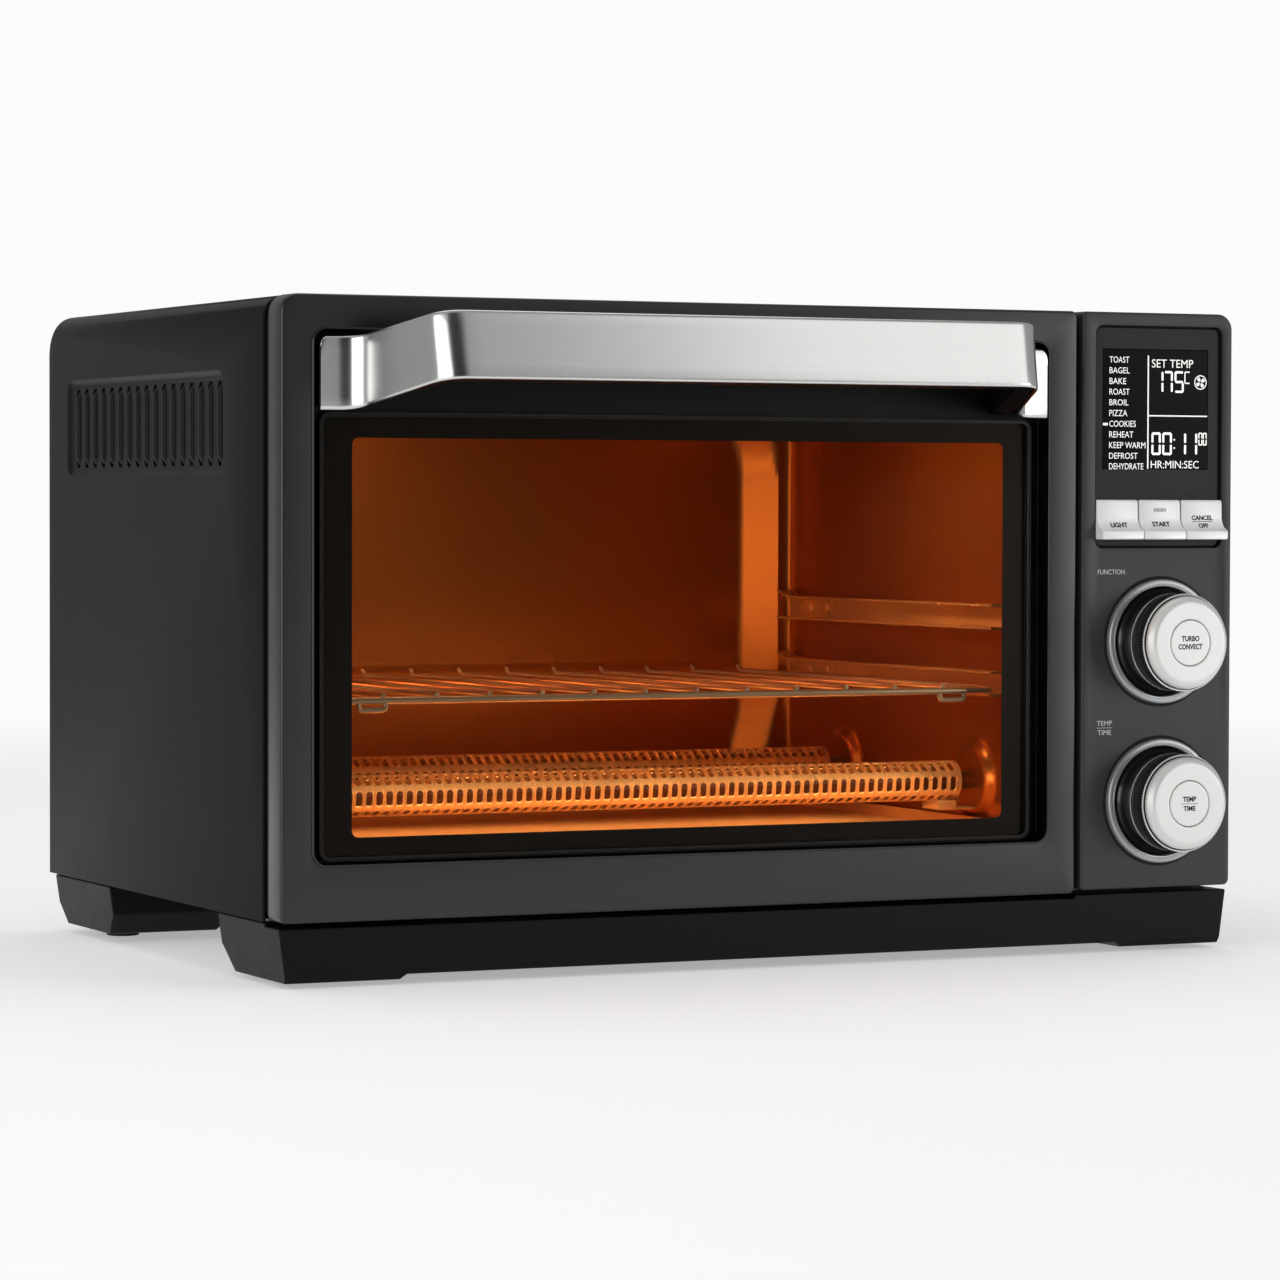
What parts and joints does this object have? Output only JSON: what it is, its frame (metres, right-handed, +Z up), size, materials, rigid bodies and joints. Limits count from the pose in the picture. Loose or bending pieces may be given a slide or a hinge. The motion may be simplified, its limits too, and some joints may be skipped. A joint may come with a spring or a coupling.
{
  "type": "toaster oven",
  "caption": "Countertop toaster oven with a drop-down glass door, full-width bar handle, control column with display, keys and rotary knobs, wire rack and shielded tube heaters.",
  "frame": {"origin": "middle of the oven's footprint on the worktop, counting the handle and the rear spacers", "axes": "+X to the right seen from the front, along the width; +Y to the back; +Z up"},
  "size_m": [0.485, 0.387, 0.3025],
  "materials": {
    "charcoal_paint": "fine satin charcoal powder coat",
    "panel_paint": "satin charcoal paint on moulded plastic",
    "black_plastic": "matt moulded black",
    "foot_rubber": "matt",
    "galvanised_steel": "dull zinc coated sheet",
    "aluminised_steel": "satin aluminised sheet, toned by heat",
    "stainless_steel": "bright brushed",
    "chromed_wire": "polished",
    "chrome_trim": "satin chrome",
    "silver_plastic": "satin silver, plated",
    "gloss_black": "glossy black",
    "door_glass": "tempered, with a printed black border",
    "lcd_black": "dark display window",
    "quartz_tube": "frosted quartz, glowing",
    "lamp_glass": "frosted heat-proof glass",
    "ceramic": "unglazed",
    "circuit_board": "green board with components"
  },
  "bodies": {
    "body": {"outer_wrapper": "charcoal_paint", "front_bulkhead": "charcoal_paint", "rear_panel": "charcoal_paint", "control_fascia": "panel_paint", "front_plinth": "black_plastic", "rear_plinth": "black_plastic", "rear_spacer_left": "black_plastic", "rear_spacer_right": "black_plastic", "cord_gland": "black_plastic", "foot_pad_front_left": "foot_rubber", "foot_pad_front_right": "foot_rubber", "foot_pad_rear_left": "foot_rubber", "foot_pad_rear_right": "foot_rubber", "bottom_plate": "galvanised_steel", "heat_shield": "galvanised_steel", "hinge_bracket_left": "galvanised_steel", "hinge_bracket_right": "galvanised_steel", "fan_motor": "galvanised_steel", "function_encoder": "galvanised_steel", "temp_encoder": "galvanised_steel", "cavity_liner": "aluminised_steel", "crumb_tray": "aluminised_steel", "heater_guard_front": "stainless_steel", "heater_guard_rear": "stainless_steel", "rack_guide_upper_left": "stainless_steel", "rack_guide_upper_right": "stainless_steel", "rack_guide_lower_left": "stainless_steel", "rack_guide_lower_right": "stainless_steel", "temperature_probe": "chromed_wire", "function_knob_bezel": "chrome_trim", "temp_knob_bezel": "chrome_trim", "lcd_display": "lcd_black", "heater_lower_front": "quartz_tube", "heater_lower_rear": "quartz_tube", "heater_upper_front": "quartz_tube", "heater_upper_rear": "quartz_tube", "oven_lamp": "lamp_glass", "lamp_holder": "ceramic", "control_board": "circuit_board", "power_board": "circuit_board"},
    "door": {"door_frame": "charcoal_paint", "door_inner_panel": "galvanised_steel", "door_glass": "door_glass", "door_handle": "stainless_steel", "handle_core": "black_plastic", "hinge_pin_left": "chromed_wire", "hinge_pin_right": "chromed_wire", "hinge_spring_left": "chromed_wire", "hinge_spring_right": "chromed_wire"},
    "rack": {"wire_rack": "chromed_wire"},
    "light_key": {"light_button": "silver_plastic"},
    "start_key": {"start_button": "silver_plastic"},
    "cancel_key": {"cancel_button": "silver_plastic"},
    "function_dial": {"function_knob": "gloss_black", "function_knob_cap": "silver_plastic"},
    "temp_dial": {"temp_knob": "gloss_black", "temp_knob_cap": "silver_plastic"},
    "function_push": {"function_centre_button": "silver_plastic"},
    "temp_push": {"temp_centre_button": "silver_plastic"},
    "fan": {"fan_impeller": "galvanised_steel"}
  },
  "joints": [
    {"name": "door_hinge", "type": "hinge", "parent": "body", "child": "door", "pos_m": [-0.04275, -0.129, 0.0345], "axis": [1, 0, 0], "range_deg": [0, 82], "stiffness_Nm_per_rad": 0.9, "springref_deg": -28.65},
    {"name": "rack_slide", "type": "slide", "parent": "body", "child": "rack", "axis": [0, -1, 0], "range_m": [0, 0.09]},
    {"name": "light_press", "type": "slide", "parent": "body", "child": "light_key", "axis": [0, 1, 0], "range_m": [0, 0.0015], "stiffness_N_per_m": 700, "springref_m": -0.0005},
    {"name": "start_press", "type": "slide", "parent": "body", "child": "start_key", "axis": [0, 1, 0], "range_m": [0, 0.0015], "stiffness_N_per_m": 700, "springref_m": -0.0005},
    {"name": "cancel_press", "type": "slide", "parent": "body", "child": "cancel_key", "axis": [0, 1, 0], "range_m": [0, 0.0015], "stiffness_N_per_m": 700, "springref_m": -0.0005},
    {"name": "function_turn", "type": "hinge", "parent": "body", "child": "function_dial", "pos_m": [0.203, -0.155, 0.147], "axis": [0, 1, 0], "continuous": true},
    {"name": "temp_turn", "type": "hinge", "parent": "body", "child": "temp_dial", "pos_m": [0.203, -0.155, 0.0714], "axis": [0, 1, 0], "continuous": true},
    {"name": "function_press", "type": "slide", "parent": "body", "child": "function_push", "axis": [0, 1, 0], "range_m": [0, 0.001], "stiffness_N_per_m": 700, "springref_m": -0.0005},
    {"name": "temp_press", "type": "slide", "parent": "body", "child": "temp_push", "axis": [0, 1, 0], "range_m": [0, 0.001], "stiffness_N_per_m": 700, "springref_m": -0.0005},
    {"name": "fan_spin", "type": "hinge", "parent": "body", "child": "fan", "pos_m": [-0.1475, 0.14, 0.165], "axis": [0, 1, 0], "continuous": true}
  ],
  "couplings": [
    {"joint": "rack_slide", "follows": "door_hinge", "m_per_rad": 0.06}
  ]
}
